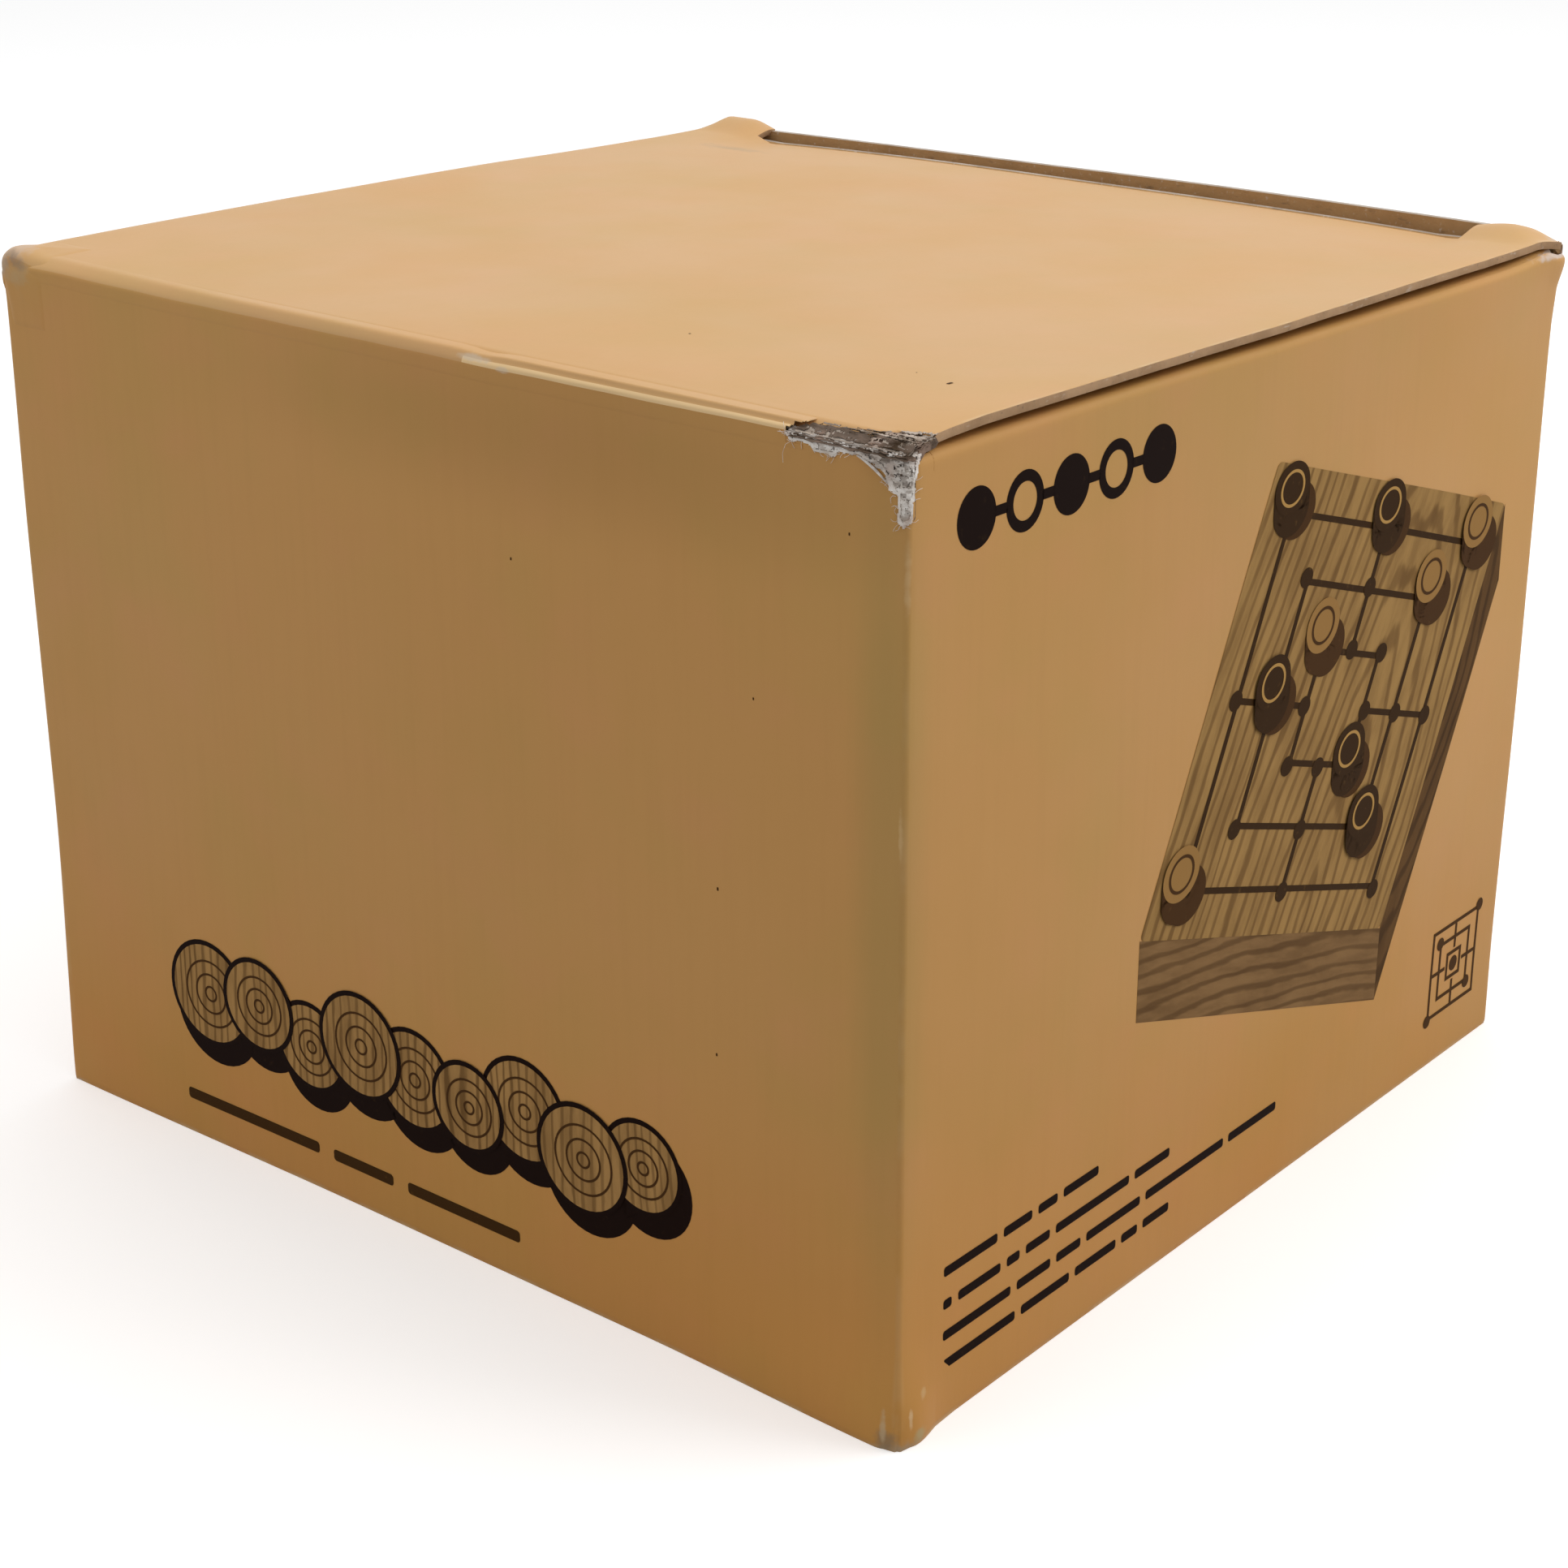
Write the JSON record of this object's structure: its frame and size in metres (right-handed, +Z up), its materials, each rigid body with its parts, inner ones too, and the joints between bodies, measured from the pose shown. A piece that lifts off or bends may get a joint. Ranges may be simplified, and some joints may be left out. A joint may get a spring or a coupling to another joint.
{
  "type": "tuck-end game box",
  "caption": "Folding board carton with a hinged tuck lid, dust flaps and a locked bottom, holding a wooden peg-and-ball board game.",
  "frame": {"origin": "centre of the carton's footprint, on the surface it stands on", "axes": "+Z up; -Y is the printed front; -X is the wall that carries the lid's crease; +X is the tuck side"},
  "size_m": [0.146, 0.15, 0.1212],
  "materials": {
    "printed_board": "satin",
    "block_wood": "satin",
    "peg_wood": "satin",
    "light_wood": "satin",
    "dark_wood": "satin",
    "leaflet_paper": "matte"
  },
  "bodies": {
    "carton": {"ball_dark_1": "dark_wood", "ball_dark_2": "dark_wood", "ball_dark_3": "dark_wood", "ball_dark_4": "dark_wood", "ball_dark_5": "dark_wood", "ball_dark_6": "dark_wood", "ball_dark_7": "dark_wood", "ball_dark_8": "dark_wood", "ball_dark_9": "dark_wood", "ball_light_1": "light_wood", "ball_light_2": "light_wood", "ball_light_3": "light_wood", "ball_light_4": "light_wood", "ball_light_5": "light_wood", "ball_light_6": "light_wood", "ball_light_7": "light_wood", "ball_light_8": "light_wood", "ball_light_9": "light_wood", "bottom_side_flap_left": "printed_board", "bottom_side_flap_right": "printed_board", "bottom_slot_flap": "printed_board", "bottom_tongue_flap": "printed_board", "game_block": "block_wood", "glue_flap": "printed_board", "peg_01": "peg_wood", "peg_02": "peg_wood", "peg_03": "peg_wood", "peg_04": "peg_wood", "peg_05": "peg_wood", "peg_06": "peg_wood", "peg_07": "peg_wood", "peg_08": "peg_wood", "peg_09": "peg_wood", "peg_10": "peg_wood", "peg_11": "peg_wood", "peg_12": "peg_wood", "peg_13": "peg_wood", "peg_14": "peg_wood", "peg_15": "peg_wood", "peg_16": "peg_wood", "rules_leaflet": "leaflet_paper", "wall_back": "printed_board", "wall_front": "printed_board", "wall_left": "printed_board", "wall_right": "printed_board"},
    "lid": {"lid_panel": "printed_board"},
    "tuck_flap": {"tuck_flap": "printed_board"},
    "dust_flap_front": {"dust_flap_front": "printed_board"},
    "dust_flap_back": {"dust_flap_back": "printed_board"}
  },
  "joints": [
    {"name": "lid_open", "type": "hinge", "parent": "carton", "child": "lid", "pos_m": [-0.0725, 0, 0.1195], "axis": [0, -1, 0], "range_deg": [0, 180]},
    {"name": "tuck_fold", "type": "hinge", "parent": "lid", "child": "tuck_flap", "pos_m": [0.069, 0, 0.1195], "axis": [0, -1, 0], "range_deg": [0, 30]},
    {"name": "dust_front_fold", "type": "hinge", "parent": "carton", "child": "dust_flap_front", "pos_m": [0, -0.0745, 0.1182], "axis": [1, 0, 0], "range_deg": [0, 90]},
    {"name": "dust_back_fold", "type": "hinge", "parent": "carton", "child": "dust_flap_back", "pos_m": [0, 0.0745, 0.1182], "axis": [-1, 0, 0], "range_deg": [0, 90]}
  ],
  "couplings": [
    {"joint": "tuck_fold", "follows": "lid_open", "ratio": 0.16666},
    {"joint": "dust_front_fold", "follows": "lid_open", "ratio": 0.5},
    {"joint": "dust_back_fold", "follows": "lid_open", "ratio": 0.5}
  ]
}
